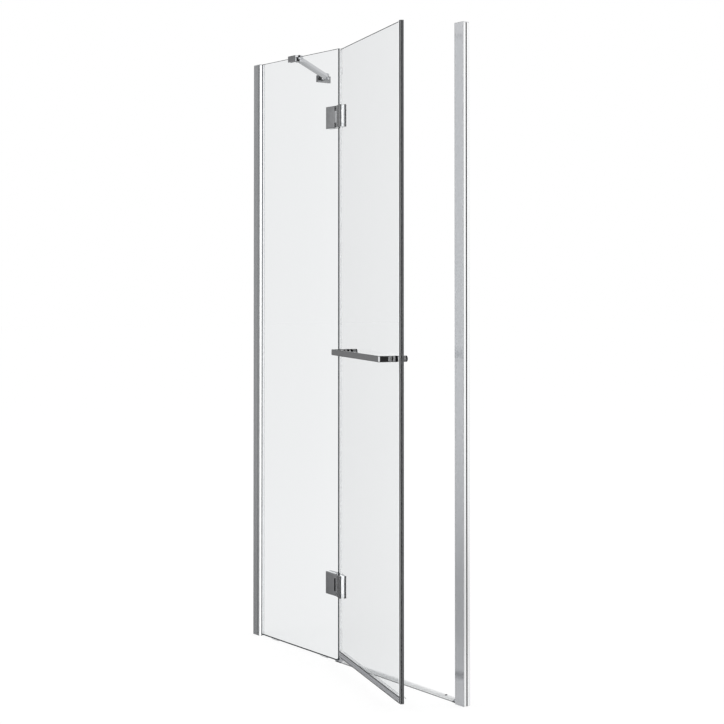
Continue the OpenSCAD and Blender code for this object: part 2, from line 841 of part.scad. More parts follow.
module bush_shape(z0, z1, flange_up) {
    bush_z = flange_up ? z1 : z0 - bush_flange_t;
    flange_r = knuckle_r - 2 * fit;
    difference() {
        union() {
            translate([0, 0, z0]) cylinder(r = pin_r + pin_play + bush_t, h = z1 - z0);
            translate([0, 0, bush_z]) cylinder(r = flange_r, h = bush_flange_t);
        }
        translate([0, 0, -hinge_h]) cylinder(r = pin_r + pin_play, h = 2 * hinge_h);
    }
}

// Bushes in the door leaf's knuckles. A flange faces each of the fixed leaf's knuckles.
module bush_set(door_middle) {
    if (door_middle) {
        bush_shape(knuckle_split - bush_len, knuckle_split, true);
        bush_shape(-knuckle_split, bush_len - knuckle_split, false);
    } else {
        start = knuckle_split + flange_gap;
        bush_shape(start, start + bush_len, false);
        bush_shape(-start - bush_len, -start, true);
    }
}

module pin_shape() {
    pin_len = hinge_h - 2 * tip_gap;
    translate([0, 0, -pin_len / 2]) cylinder(r = pin_r, h = pin_len);
}

module at_hinge(z) {
    translate([axis_x, axis_y, z]) children();
}

fixed_bore = pin_r + pin_fit;
door_bore = pin_r + pin_play + bush_t + pin_fit;
fixed_edge = axis_x - fixed_panel_w;
door_edge = door_x - axis_x;

module fixed_side(z) {
    at_hinge(z) mirror([1, 0, 0]) children();
}

module door_side(z) {
    on_door() at_hinge(z) children();
}

module upper_hinge_fixed_leaf() {
    color(c_chrome) fixed_side(hinge_high_z)
        leaf_shape(leaf_fixed_w, screw_fixed_x, true, fixed_bore);
}

module upper_hinge_fixed_plate() {
    color(c_chrome) fixed_side(hinge_high_z)
        plate_shape(fixed_edge + gasket_in, leaf_fixed_w, screw_fixed_x);
}

module upper_hinge_fixed_gaskets() {
    color(c_rubber) fixed_side(hinge_high_z)
        gasket_pair(knuckle_relief + gasket_in, leaf_fixed_w, screw_fixed_x);
}

module upper_hinge_fixed_screws() {
    color(c_steel) fixed_side(hinge_high_z) hinge_screw_pair(screw_fixed_x);
}

module upper_hinge_pin() {
    color(c_steel) at_hinge(hinge_high_z) pin_shape();
}

module upper_hinge_door_leaf() {
    color(c_chrome) door_side(hinge_high_z)
        leaf_shape(leaf_door_w, screw_door_x, false, door_bore);
}

module upper_hinge_door_plate() {
    color(c_chrome) door_side(hinge_high_z)
        plate_shape(door_edge + gasket_in, leaf_door_w, screw_door_x);
}

module upper_hinge_door_gaskets() {
    color(c_rubber) door_side(hinge_high_z)
        gasket_pair(door_edge + gasket_in, leaf_door_w, screw_door_x);
}

module upper_hinge_door_screws() {
    color(c_steel) door_side(hinge_high_z) hinge_screw_pair(screw_door_x);
}

module upper_hinge_bushes() {
    color(c_rubber) door_side(hinge_high_z) bush_set(false);
}

module lower_hinge_fixed_leaf() {
    color(c_chrome) fixed_side(hinge_low_z)
        leaf_shape(leaf_fixed_w, screw_fixed_x, false, fixed_bore);
}

module lower_hinge_fixed_plate() {
    color(c_chrome) fixed_side(hinge_low_z)
        plate_shape(fixed_edge + gasket_in, leaf_fixed_w, screw_fixed_x);
}

module lower_hinge_fixed_gaskets() {
    color(c_rubber) fixed_side(hinge_low_z)
        gasket_pair(knuckle_relief + gasket_in, leaf_fixed_w, screw_fixed_x);
}

module lower_hinge_fixed_screws() {
    color(c_steel) fixed_side(hinge_low_z) hinge_screw_pair(screw_fixed_x);
}

module lower_hinge_pin() {
    color(c_steel) at_hinge(hinge_low_z) pin_shape();
}

module lower_hinge_door_leaf() {
    color(c_chrome) door_side(hinge_low_z)
        leaf_shape(leaf_door_w, screw_door_x, true, door_bore);
}

module lower_hinge_door_plate() {
    color(c_chrome) door_side(hinge_low_z)
        plate_shape(door_edge + gasket_in, leaf_door_w, screw_door_x);
}

module lower_hinge_door_gaskets() {
    color(c_rubber) door_side(hinge_low_z)
        gasket_pair(door_edge + gasket_in, leaf_door_w, screw_door_x);
}

module lower_hinge_door_screws() {
    color(c_steel) door_side(hinge_low_z) hinge_screw_pair(screw_door_x);
}

module lower_hinge_bushes() {
    color(c_rubber) door_side(hinge_low_z) bush_set(true);
}

// Door glass with the holes for the hinge screws and the handle bolts
handle_xs = [door_end - handle_edge - handle_pitch, door_end - handle_edge];

module door_glass() {
    color(c_glass) on_door() difference() {
        block([door_x, -glass_half, door_bottom], [door_end, glass_half, door_top]);
        for (z = [hinge_low_z, hinge_high_z], s = [-1, 1])
            rod_y(glass_hole_r, axis_x + screw_door_x, z + s * screw_pitch / 2,
                  -glass_t, glass_t);
        for (x = handle_xs) rod_y(glass_hole_r, x, handle_z, -glass_t, glass_t);
    }
}

// Clear bubble seal on the hinge edge, in three lengths between the hinges
module hinge_edge_seals() {
    stop = hinge_h / 2 + seal_end_gap;
    runs = [[rail_bottom, hinge_low_z - stop], [hinge_low_z + stop, hinge_high_z - stop],
            [hinge_high_z + stop, door_top]];
    half = glass_half + seal_clear + seal_t;
    wall_x = door_x - seal_clear - seal_t;
    bubble_play = 0.15;
    bubble_r = (wall_x - fixed_panel_w) / 2 - bubble_play;
    bubble_x = wall_x + eps - bubble_r;
    color(c_clear) on_door() for (run = runs) {
        difference() {
            union() {
                block([wall_x, -half, run[0]], [door_x + seal_clip_w, half, run[1]]);
                translate([bubble_x, 0, run[0]]) cylinder(r = bubble_r, h = run[1] - run[0]);
            }
            block([door_x - seal_clear, -glass_half - seal_clear, 0],
                  [door_x + seal_clip_w + past, glass_half + seal_clear, overall_h]);
            translate([bubble_x, 0, 0]) cylinder(r = bubble_r - seal_t, h = overall_h);
            if (run[0] == rail_bottom) block([wall_x + seal_t, -half - past, 0],
                [door_x + seal_clip_w + past, half + past, rail_bottom + rail_h + seal_end_gap]);
        }
    }
}

// Magnetic seal on the closing edge: a clip on the glass and a block with a magnet sleeve
block_x = door_end + seal_clear;
magnet_wall = 1.2;
magnet_mid = block_x + magnet_block_w - magnet_strip[1] / 2 - magnet_wall;
magnet_foot = rail_bottom + 1;

module door_magnet_space(grow, over) {
    w = magnet_strip[1] / 2 + grow;
    t = magnet_strip[0] / 2 + grow;
    block([magnet_mid - w, -t, magnet_foot + sleeve_end], [magnet_mid + w, t, door_top + over]);
}

module door_magnet_seal() {
    half = glass_half + seal_clear + seal_t;
    color(c_clear) on_door() difference() {
        union() {
            block([block_x, -magnet_block_t / 2, magnet_foot],
                  [block_x + magnet_block_w, magnet_block_t / 2, door_top]);
            block([door_end - magnet_clip_w, -half, rail_bottom + rail_h + seal_end_gap],
                  [block_x + past, half, door_top]);
        }
        block([0, -glass_half - seal_clear, 0],
              [door_end + seal_clear, glass_half + seal_clear, overall_h]);
        block([block_x + seal_t, magnet_wall - magnet_block_t / 2, 0],
              [magnet_mid - magnet_strip[1] / 2 - magnet_wall,
               magnet_block_t / 2 - magnet_wall, overall_h]);
        door_magnet_space(fit, past);
    }
}

module door_magnet_strip() {
    color(c_rubber) on_door() door_magnet_space(0, 0);
}

// Bottom rail on the outside of the door, with its end caps and the drip seal
rail_end_gap = 0.4;
rail_x0 = door_x - seal_clear + rail_end_gap;
rail_x1 = door_end - rail_end_gap;
rail_in = glass_half + rail_gap;
rail_top = rail_bottom + rail_h;

module door_bottom_rail() {
    color(c_alu) on_door() {
        block([rail_x0 + rail_cap_t, -rail_in - rail_t, rail_bottom],
              [rail_x1 - rail_cap_t, -rail_in, rail_top]);
        block([rail_x0 + rail_cap_t, -rail_in - eps, rail_bottom],
              [rail_x1 - rail_cap_t, rail_in + eps, rail_bottom + rail_t]);
        block([rail_x0 + rail_cap_t, rail_in, rail_bottom],
              [rail_x1 - rail_cap_t, rail_in + rail_t, rail_bottom + rail_h / 2]);
    }
}

module rail_end_caps() {
    color(c_chrome) on_door() for (x = [rail_x0, rail_x1 - rail_cap_t]) difference() {
        block([x, -rail_in - rail_t, rail_bottom], [x + rail_cap_t, rail_in + rail_t, rail_top]);
        block([x - past, -glass_half - fit, door_bottom - fit],
              [x + rail_cap_t + past, rail_in + rail_t + past, overall_h]);
    }
}

// Clear seal: a clip between rail and glass, and a curved fin that hangs over the inside
module door_drip_seal() {
    x0 = rail_x0 + rail_cap_t + fit;
    x1 = rail_x1 - rail_cap_t - fit;
    base_z = rail_bottom + rail_t;
    outer = rail_in - fit;
    fin_y = rail_in + rail_t + seal_clear;
    fin_z = rail_bottom + rail_h / 2;
    fin_top = fin_z + fin_r;
    clip_drop = 1;
    color(c_clear) on_door() {
        block([x0, -outer, base_z], [x1, -glass_half - fit, rail_top - clip_drop]);
        block([x0, -outer, base_z], [x1, outer, door_bottom - fit]);
        block([x0, glass_half + fit, base_z], [x1, outer, fin_top]);
        block([x0, glass_half + fit, fin_top - fin_t], [x1, fin_y + past, fin_top]);
        intersection() {
            difference() {
                rod_x(fin_r, fin_y, fin_z, x0, x1);
                rod_x(fin_r - fin_t, fin_y, fin_z, x0 - past, x1 + past);
            }
            block([x0, fin_y, fin_z - fin_r], [x1, fin_y + fin_r, fin_top]);
        }
    }
}

// Handle: a flat bar bent back to two posts, round bases on the glass and knobs on the inside
post_y = -glass_half - washer_t - base_len;
bar_front = -glass_half - bar_reach;

module round_corner_plan(x0, x1, y0, y1, r) {
    translate([x0, y0 + r]) square([x1 - x0, y1 - y0 - r]);
    translate([x0 + r, y0]) square([x1 - x0 - 2 * r, r + eps]);
    for (x = [x0 + r, x1 - r]) translate([x, y0 + r]) circle(r = r);
}

module handle_bar() {
    x0 = handle_xs[0] - bar_t / 2;
    x1 = handle_xs[1] + bar_t / 2;
    inner_bend = max(bar_bend - bar_t, round_edge);
    color(c_chrome) on_door() difference() {
        translate([0, 0, handle_z - bar_h / 2]) linear_extrude(bar_h) difference() {
            round_corner_plan(x0, x1, bar_front, post_y, bar_bend);
            round_corner_plan(x0 + bar_t, x1 - bar_t, bar_front + bar_t, post_y + past,
                              inner_bend);
        }
        for (x = handle_xs)
            rod_y(hbolt_r + pin_fit, x, handle_z, post_y - hbolt_in, post_y + past);
    }
}

module handle_bases() {
    groove_y = post_y + groove_in;
    core_r = base_r - groove_depth;
    color(c_chrome) on_door() for (x = handle_xs) difference() {
        rod_y(base_r, x, handle_z, post_y, -glass_half - washer_t);
        rod_y(hbolt_r + fit, x, handle_z, post_y - past, 0);
        difference() {
            rod_y(base_r + past, x, handle_z, groove_y, groove_y + groove_w);
            rod_y(core_r, x, handle_z, groove_y - past, groove_y + groove_w + past);
        }
    }
}

module handle_knobs() {
    knob_y = glass_half + washer_t;
    color(c_chrome) on_door() for (x = handle_xs) difference() {
        union() {
            rod_y(base_r, x, handle_z, knob_y, knob_y + knob_len - round_edge);
            translate([x, knob_y + knob_len - round_edge, handle_z]) rotate([-90, 0, 0])
                cylinder(r1 = base_r, r2 = base_r - round_edge, h = round_edge);
        }
        rod_y(hbolt_r + pin_fit, x, handle_z, 0, knob_y + hbolt_knob + tip_gap);
    }
}

module handle_washers() {
    washer_r = base_r - 0.5;
    color(c_clear) on_door() for (x = handle_xs, s = [0, 1]) mirror([0, s, 0]) difference() {
        rod_y(washer_r, x, handle_z, glass_half, glass_half + washer_t);
        rod_y(hbolt_r + fit, x, handle_z, 0, glass_half + washer_t + past);
    }
}

module handle_bolts() {
    color(c_steel) on_door() for (x = handle_xs)
        rod_y(hbolt_r, x, handle_z, post_y - hbolt_in + tip_gap,
              glass_half + washer_t + hbolt_knob);
}

left_wall_channel();
left_glass_profile();
left_profile_cap();
left_profile_screws();
left_screw_covers();
left_glass_gaskets();
fixed_glass();
glass_setting_blocks();
right_wall_channel();
right_strike_profile();
right_profile_cap();
right_profile_screws();
right_screw_covers();
strike_magnet_seal();
strike_magnet_strip();
threshold_strip();
threshold_left_block();
threshold_right_block();
threshold_screws();
brace_wall_flange();
brace_forks();
brace_pivot_pins();
brace_bar();
brace_glass_clamp();
brace_clamp_liner();
brace_clamp_screws();
upper_hinge_fixed_leaf();
upper_hinge_fixed_plate();
upper_hinge_fixed_gaskets();
upper_hinge_fixed_screws();
upper_hinge_pin();
upper_hinge_door_leaf();
upper_hinge_door_plate();
upper_hinge_door_gaskets();
upper_hinge_door_screws();
upper_hinge_bushes();
lower_hinge_fixed_leaf();
lower_hinge_fixed_plate();
lower_hinge_fixed_gaskets();
lower_hinge_fixed_screws();
lower_hinge_pin();
lower_hinge_door_leaf();
lower_hinge_door_plate();
lower_hinge_door_gaskets();
lower_hinge_door_screws();
lower_hinge_bushes();
door_glass();
hinge_edge_seals();
door_magnet_seal();
door_magnet_strip();
door_bottom_rail();
rail_end_caps();
door_drip_seal();
handle_bar();
handle_bases();
handle_knobs();
handle_washers();
handle_bolts();
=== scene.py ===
"""Looks of the in-line shower door: rounded edges, drawn aluminium, chrome, glass and clear seals."""

import json
import math

import bmesh
import bpy
from mathutils import Matrix, Vector


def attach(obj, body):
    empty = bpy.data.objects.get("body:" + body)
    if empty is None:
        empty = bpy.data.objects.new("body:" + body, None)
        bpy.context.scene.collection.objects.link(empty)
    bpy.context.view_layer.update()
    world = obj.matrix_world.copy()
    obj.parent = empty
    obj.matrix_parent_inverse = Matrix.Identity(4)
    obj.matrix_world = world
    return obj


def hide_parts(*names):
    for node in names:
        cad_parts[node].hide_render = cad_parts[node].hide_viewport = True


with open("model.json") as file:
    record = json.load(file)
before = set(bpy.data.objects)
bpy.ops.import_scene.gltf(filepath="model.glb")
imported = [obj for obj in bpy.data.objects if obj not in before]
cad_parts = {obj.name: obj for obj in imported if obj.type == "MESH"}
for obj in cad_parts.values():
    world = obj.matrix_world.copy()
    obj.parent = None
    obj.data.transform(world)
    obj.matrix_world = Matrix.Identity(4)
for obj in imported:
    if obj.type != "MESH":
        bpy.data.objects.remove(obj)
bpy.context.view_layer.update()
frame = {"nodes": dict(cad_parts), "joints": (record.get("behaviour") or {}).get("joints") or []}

# A millimetre in metres, and tolerances: weld in metres, nearness in mm.
# Lengths in the functions that dress a piece are in mm, at the door's closed position.
MM = 0.001
WELD = 1e-6
NEAR = 0.1
FLAT = math.radians(0.5)
SHARP = math.radians(35)
X, Y, Z = 0, 1, 2

# A face looks along an axis, or rather that way, when its normal has this share of it
ALONG = 0.9
RATHER = 0.5

# Places of a piece's materials in its list
MAIN, ACCENT, THIRD = 0, 1, 2

# Bodies
FRAME_BODY = "frame"
DOOR_BODY = "door"

# Lengths of the CAD model that the looks need, in mm
WALL_TO_WALL = 1088
PIN_X = 478.5
GLASS_HALF = 3.0
BLOCK_W = 11
FLANGE_Y = 285
FLANGE_Z = 1927
FLANGE_PITCH = 42

# Cutters start below and end above everything, and stand proud of the face they cut, in mm
BELOW = -5
TALL = 2000
PROUD = 1

# The door stands open at rest by the angle that the joint lets it close
hinge = frame["joints"][0]
pivot = Vector(hinge["pos_m"])
closing = math.radians(hinge["range_deg"][0])
door_turn = Matrix.Translation(pivot) @ Matrix.Rotation(closing, 4, "Z") @ Matrix.Translation(-pivot)

WHITE = (1, 1, 1, 1)


# Node trees
def add_node(tree, kind, **settings):
    node = tree.nodes.new(kind)
    for key, value in settings.items():
        setattr(node, key, value)
    return node


def set_inputs(node, values):
    for key, value in values.items():
        node.inputs[key].default_value = value


def new_material(name, values):
    """A Principled material with its constants set on the shader's own sockets."""
    mat = bpy.data.materials.new(name)
    mat.use_nodes = True
    tree = mat.node_tree
    tree.nodes.clear()
    out = add_node(tree, "ShaderNodeOutputMaterial")
    shader = add_node(tree, "ShaderNodeBsdfPrincipled")
    set_inputs(shader, values)
    tree.links.new(shader.outputs["BSDF"], out.inputs["Surface"])
    return mat, tree, shader, out


# The range that noise mostly covers, and how rough noise is
NOISE_LOW, NOISE_HIGH = 0.3, 0.7
NOISE_ROUGHNESS = 0.6
EVEN = (1, 1, 1)


def noise(tree, scale, detail, stretch=EVEN, turn=0.0):
    """Noise in object space, turned about Z and stretched along the axes."""
    coords = add_node(tree, "ShaderNodeTexCoord")
    spin = add_node(tree, "ShaderNodeMapping")
    spin.inputs["Rotation"].default_value = (0, 0, turn)
    mapping = add_node(tree, "ShaderNodeMapping")
    mapping.inputs["Scale"].default_value = stretch
    tex = add_node(tree, "ShaderNodeTexNoise")
    set_inputs(tex, {"Scale": scale, "Detail": detail, "Roughness": NOISE_ROUGHNESS})
    tree.links.new(coords.outputs["Object"], spin.inputs["Vector"])
    tree.links.new(spin.outputs["Vector"], mapping.inputs["Vector"])
    tree.links.new(mapping.outputs["Vector"], tex.inputs["Vector"])
    return tex.outputs["Fac"]


def ranged(tree, value, low, high):
    """A number between low and high, by noise."""
    node = add_node(tree, "ShaderNodeMapRange")
    set_inputs(node, {"From Min": NOISE_LOW, "From Max": NOISE_HIGH, "To Min": low, "To Max": high})
    tree.links.new(value, node.inputs["Value"])
    return node.outputs["Result"]


def two_tones(tree, value, dark, light):
    """A colour between dark and light, by noise."""
    ramp = add_node(tree, "ShaderNodeValToRGB")
    low, high = ramp.color_ramp.elements
    low.position = NOISE_LOW
    low.color = (*dark, 1)
    high.position = NOISE_HIGH
    high.color = (*light, 1)
    tree.links.new(value, ramp.inputs["Fac"])
    return ramp.outputs["Color"]


def add_bump(tree, shader, value, distance, strength):
    bump = add_node(tree, "ShaderNodeBump")
    set_inputs(bump, {"Distance": distance, "Strength": strength})
    tree.links.new(value, bump.inputs["Height"])
    tree.links.new(bump.outputs["Normal"], shader.inputs["Normal"])


def mixed(tree, factor, first, second):
    """The first shader where the factor is 0, the second where it is 1."""
    mix = add_node(tree, "ShaderNodeMixShader")
    tree.links.new(factor, mix.inputs["Fac"])
    tree.links.new(first, mix.inputs[1])
    tree.links.new(second, mix.inputs[2])
    return mix.outputs["Shader"]


# Kinds of material: their noise, the depth of drawn lines in metres, and what many of them share
LINE_SCALE, LINE_DETAIL, LINE_DEPTH, LINE_STRENGTH = 1.0, 6, 0.00002, 0.3
HAZE_DETAIL = 4
GRAIN_DETAIL, GRAIN_STRENGTH = 5, 0.5
PANE_HAZE_SCALE, PANE_HAZE_DETAIL = 30, 3
DRAWN_ANISOTROPY = 0.4
PLASTIC_IOR = 1.48


def drawn_metal(name, dark, light, rough, stretch, turn=0.0, metallic=1.0):
    """Metal with fine lines along the way it was drawn. Less than 1 metallic is a matt anodised skin."""
    mat, tree, shader, _ = new_material(name, {"Metallic": metallic, "Anisotropic": DRAWN_ANISOTROPY})
    lines = noise(tree, LINE_SCALE, LINE_DETAIL, stretch, turn)
    tree.links.new(two_tones(tree, lines, dark, light), shader.inputs["Base Color"])
    tree.links.new(ranged(tree, lines, *rough), shader.inputs["Roughness"])
    add_bump(tree, shader, lines, LINE_DEPTH, LINE_STRENGTH)
    return mat


def smooth_metal(name, dark, light, rough, scale):
    """Polished or plated metal with a faint haze."""
    mat, tree, shader, _ = new_material(name, {"Metallic": 1.0})
    haze = noise(tree, scale, HAZE_DETAIL)
    tree.links.new(two_tones(tree, haze, dark, light), shader.inputs["Base Color"])
    tree.links.new(ranged(tree, haze, *rough), shader.inputs["Roughness"])
    return mat


def moulded(name, dark, light, rough, scale, bump, ior=PLASTIC_IOR, glow=0.0):
    """Moulded plastic or rubber with a fine grain. Glow stands for light from behind."""
    mat, tree, shader, _ = new_material(name, {
        "Metallic": 0.0, "IOR": ior, "Emission Color": WHITE, "Emission Strength": glow})
    grain = noise(tree, scale, GRAIN_DETAIL)
    tree.links.new(two_tones(tree, grain, dark, light), shader.inputs["Base Color"])
    tree.links.new(ranged(tree, grain, *rough), shader.inputs["Roughness"])
    add_bump(tree, shader, grain, bump, GRAIN_STRENGTH)
    return mat


def clear(name, tint, ior, rough, shadow_tint):
    """See-through material that lets the lamps through."""
    mat, tree, shader, out = new_material(name, {
        "Transmission Weight": 1.0, "IOR": ior, "Base Color": (*tint, 1)})
    haze = noise(tree, PANE_HAZE_SCALE, PANE_HAZE_DETAIL)
    tree.links.new(ranged(tree, haze, *rough), shader.inputs["Roughness"])
    path = add_node(tree, "ShaderNodeLightPath")
    through = add_node(tree, "ShaderNodeBsdfTransparent")
    through.inputs["Color"].default_value = (*shadow_tint, 1)
    shown = mixed(tree, path.outputs["Is Shadow Ray"], shader.outputs["BSDF"], through.outputs["BSDF"])
    tree.links.new(shown, out.inputs["Surface"])
    return mat


# Drawn aluminium: upright profiles, level profiles, and how much of the skin is metal
UPRIGHT = (900, 900, 3)
LEVEL = (3, 900, 900)
SKIN = 0.7
# The left profile's aluminium is a darker copy of the strike's: a painted shade, as both profiles face
# the same way.
drawn_upright_painted_shade = drawn_metal(
    "drawn_upright_painted_shade", dark=(0.435, 0.445, 0.46), light=(0.49, 0.5, 0.515), rough=(0.14, 0.22),
    stretch=UPRIGHT, metallic=SKIN)
drawn_level = drawn_metal(
    "drawn_level", dark=(0.58, 0.59, 0.61), light=(0.66, 0.67, 0.69), rough=(0.22, 0.32),
    stretch=LEVEL, metallic=SKIN)
drawn_strike = drawn_metal(
    "drawn_strike", dark=(0.575, 0.585, 0.605), light=(0.64, 0.65, 0.67), rough=(0.15, 0.21),
    stretch=UPRIGHT, metallic=SKIN)
drawn_door = drawn_metal(
    "drawn_door", dark=(0.66, 0.67, 0.7), light=(0.74, 0.75, 0.78), rough=(0.22, 0.32),
    stretch=LEVEL, turn=-closing, metallic=0.65)
drawn_sill = drawn_metal(
    "drawn_sill", dark=(0.87, 0.875, 0.88), light=(0.94, 0.945, 0.95), rough=(0.3, 0.4),
    stretch=LEVEL, metallic=0.25)
drawn_channel = drawn_metal(
    "drawn_channel", dark=(0.9, 0.905, 0.91), light=(0.96, 0.965, 0.97), rough=(0.1, 0.16),
    stretch=UPRIGHT, metallic=SKIN)

# Plated metal and screws
chrome = smooth_metal(
    "polished_chrome", dark=(0.7, 0.71, 0.73), light=(0.76, 0.77, 0.79), rough=(0.05, 0.09), scale=60)
satin = smooth_metal(
    "satin_ring", dark=(0.86, 0.87, 0.88), light=(0.94, 0.945, 0.95), rough=(0.5, 0.6), scale=300)
# Dark smoked chrome. On the brace flange and along the threshold's low front edge its dark tone is
# painted shade.
smoked_and_shade = smooth_metal(
    "smoked_chrome", dark=(0.26, 0.265, 0.27), light=(0.34, 0.345, 0.35), rough=(0.08, 0.14), scale=90)
steel = smooth_metal(
    "stainless_steel", dark=(0.5, 0.5, 0.51), light=(0.6, 0.6, 0.61), rough=(0.22, 0.34), scale=400)
dark_steel = smooth_metal(
    "dark_screw", dark=(0.01, 0.01, 0.011), light=(0.025, 0.025, 0.027), rough=(0.3, 0.4), scale=400)

# Moulded plastic and rubber, the ground edges of the glass among them
grey_plastic = moulded(
    "grey_cap", dark=(0.36, 0.37, 0.39), light=(0.42, 0.43, 0.45), rough=(0.4, 0.5), scale=900,
    bump=0.00003)
rubber = moulded(
    "dark_rubber", dark=(0.01, 0.01, 0.011), light=(0.02, 0.02, 0.022), rough=(0.5, 0.65), scale=1200,
    bump=0.00004, ior=1.15)
nylon = moulded(
    "black_nylon", dark=(0.004, 0.004, 0.005), light=(0.01, 0.01, 0.011), rough=(0.35, 0.45), scale=900,
    bump=0.00003, ior=1.12)
magnet = moulded(
    "magnet_strip", dark=(0.18, 0.18, 0.185), light=(0.24, 0.24, 0.25), rough=(0.5, 0.6), scale=900,
    bump=0.00003)
pane_edge = moulded(
    "ground_glass_edge", dark=(0.012, 0.017, 0.021), light=(0.035, 0.043, 0.05), rough=(0.3, 0.42),
    scale=700, bump=0.00002, ior=1.12)
grey_vinyl = moulded(
    "grey_vinyl", dark=(0.06, 0.062, 0.065), light=(0.085, 0.087, 0.09), rough=(0.35, 0.5), scale=600,
    bump=0.00002, ior=1.3)
# Pale vinyl with a glow of 0.28: the emission is painted light, standing for light shining through the
# vinyl.
milky_painted_glow = moulded(
    "milky_vinyl", dark=(0.92, 0.93, 0.94), light=(0.98, 0.985, 0.99), rough=(0.35, 0.5), scale=600,
    bump=0.00002, ior=1.3, glow=0.28)

# Glass and clear vinyl. A low index keeps the white studio bright through them.
PANE_ROUGH = (0.0, 0.004)
PANE_SHADOW = (0.93, 0.95, 0.95)
fixed_pane = clear(
    "fixed_pane_glass", tint=(0.912, 0.923, 0.93), ior=1.35, rough=PANE_ROUGH, shadow_tint=PANE_SHADOW)
door_pane = clear(
    "door_pane_glass", tint=(0.94, 0.952, 0.959), ior=1.2, rough=PANE_ROUGH, shadow_tint=PANE_SHADOW)
pvc = clear(
    "clear_pvc", tint=(0.965, 0.97, 0.975), ior=1.12, rough=(0.03, 0.08), shadow_tint=(0.9, 0.91, 0.92))
thin_pvc = clear(
    "thin_pvc", tint=(0.985, 0.988, 0.99), ior=1.04, rough=(0.02, 0.05), shadow_tint=(0.95, 0.955, 0.96))


# Mesh making
def cad_copy(node, body):
    """The CAD node's mesh as with the door closed, welded, its flat areas in one face each."""
    bm = bmesh.new()
    bm.from_mesh(frame["nodes"][node].data)
    if body == DOOR_BODY:
        bm.transform(door_turn.inverted())
    bmesh.ops.remove_doubles(bm, verts=bm.verts, dist=WELD)
    bmesh.ops.dissolve_limit(bm, angle_limit=FLAT, verts=bm.verts, edges=bm.edges)
    bmesh.ops.recalc_face_normals(bm, faces=bm.faces)
    return bm


def reach(bm, axis):
    """The lowest and highest place along an axis, in mm."""
    places = [v.co[axis] for v in bm.verts]
    return min(places) / MM, max(places) / MM


def round_edges(bm, width, segments=3, chosen=None, clamp=True):
    """Rounds the outward corners, or those of them that chosen picks.
    With clamp, short edges keep the rounding small; without it, it has its full width."""
    edges = [e for e in bm.edges
             if len(e.link_faces) == 2 and e.is_convex and e.calc_face_angle() > SHARP
             and (chosen is None or chosen(e))]
    bmesh.ops.bevel(bm, geom=edges, offset=width * MM, offset_type="OFFSET", segments=segments,
                    profile=0.5, affect="EDGES", clamp_overlap=clamp)


def box_mesh(low, high):
    """A box between two corners, in mm."""
    bm = bmesh.new()
    size = [b - a for a, b in zip(low, high)]
    middle = [(a + b) / 2 for a, b in zip(low, high)]
    place = Matrix.Translation([v * MM for v in middle])
    scale = Matrix.Diagonal([v * MM for v in size]).to_4x4()
    bmesh.ops.create_cube(bm, size=1, matrix=place @ scale)
    return bm


def as_object(bm, name):
    mesh = bpy.data.meshes.new(name)
    bm.to_mesh(mesh)
    bm.free()
    made = bpy.data.objects.new(name, mesh)
    bpy.context.scene.collection.objects.link(made)
    return made


def carve(bm, low, high):
    """Cuts a box between two corners out of the shape."""
    target = as_object(bm, "carved")
    cutter = as_object(box_mesh(low, high), "cutter")
    cut = target.modifiers.new("cut", "BOOLEAN")
    cut.object = cutter
    cut.solver = "EXACT"
    result = bpy.data.meshes.new_from_object(
        target.evaluated_get(bpy.context.evaluated_depsgraph_get()))
    done = bmesh.new()
    done.from_mesh(result)
    for made in (target, cutter):
        mesh = made.data
        bpy.data.objects.remove(made)
        bpy.data.meshes.remove(mesh)
    bpy.data.meshes.remove(result)
    bmesh.ops.dissolve_limit(done, angle_limit=FLAT, verts=done.verts, edges=done.edges)
    return done


def split_at(bm, axis, *places):
    """Splits the faces where they cross planes, so that each side can have its own material."""
    normal = Vector([float(i == axis) for i in range(3)])
    for place in places:
        bmesh.ops.bisect_plane(bm, geom=bm.verts[:] + bm.edges[:] + bm.faces[:],
                               plane_co=normal * place * MM, plane_no=normal)


def paint(bm, index, inside):
    """Gives a material to the faces whose middle, in mm, inside picks."""
    for face in bm.faces:
        if inside(face.calc_center_median() / MM):
            face.material_index = index


def finish_piece(bm, body, node, slot, *materials):
    """Makes the piece, rides it on its body and lets it stand for its CAD node."""
    if body == DOOR_BODY:
        bm.transform(door_turn)
    for face in bm.faces:
        face.smooth = True
    for edge in bm.edges:
        edge.smooth = len(edge.link_faces) == 2 and edge.calc_face_angle() < SHARP
    piece = as_object(bm, node + "_look")
    for mat in materials:
        piece.data.materials.append(mat)
    normals = piece.modifiers.new("normals", "WEIGHTED_NORMAL")
    normals.keep_sharp = True
    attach(piece, body)
    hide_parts(node)


def dress(node, body, slot, material, rounding, segments=3):
    """The CAD node's shape with rounded corners."""
    bm = cad_copy(node, body)
    round_edges(bm, rounding, segments)
    finish_piece(bm, body, node, slot, material)


# Glass
def dress_pane(node, body, slot, glass):
    """A glass pane with ground edges that show the dark body colour of the glass.
    The door's hinge edge is pale, because the seal's web lies against it, and it glows with painted
    light. The fixed pane takes the dark edge colour along its lowest 3.2 mm."""
    on_door = body == DOOR_BODY
    chamfer = 2.0 if on_door else 1.2
    longest_of_holes, dark_foot = 50, 3.2
    bm = cad_copy(node, body)
    dark_foot_top = reach(bm, Z)[0] + dark_foot
    round_edges(bm, chamfer, segments=1, clamp=False,
                chosen=lambda e: e.calc_length() > longest_of_holes * MM)
    if not on_door:
        split_at(bm, Z, dark_foot_top)
    for face in bm.faces:
        if abs(face.normal.y) > ALONG:
            face.material_index = MAIN
        else:
            face.material_index = THIRD if on_door and face.normal.x < -RATHER else ACCENT
    if not on_door:
        # The fixed pane's lowest 3.2 mm takes the dark edge colour.
        paint(bm, ACCENT, lambda c: c.z < dark_foot_top)
    finish_piece(bm, body, node, slot, glass, pane_edge, milky_painted_glow)


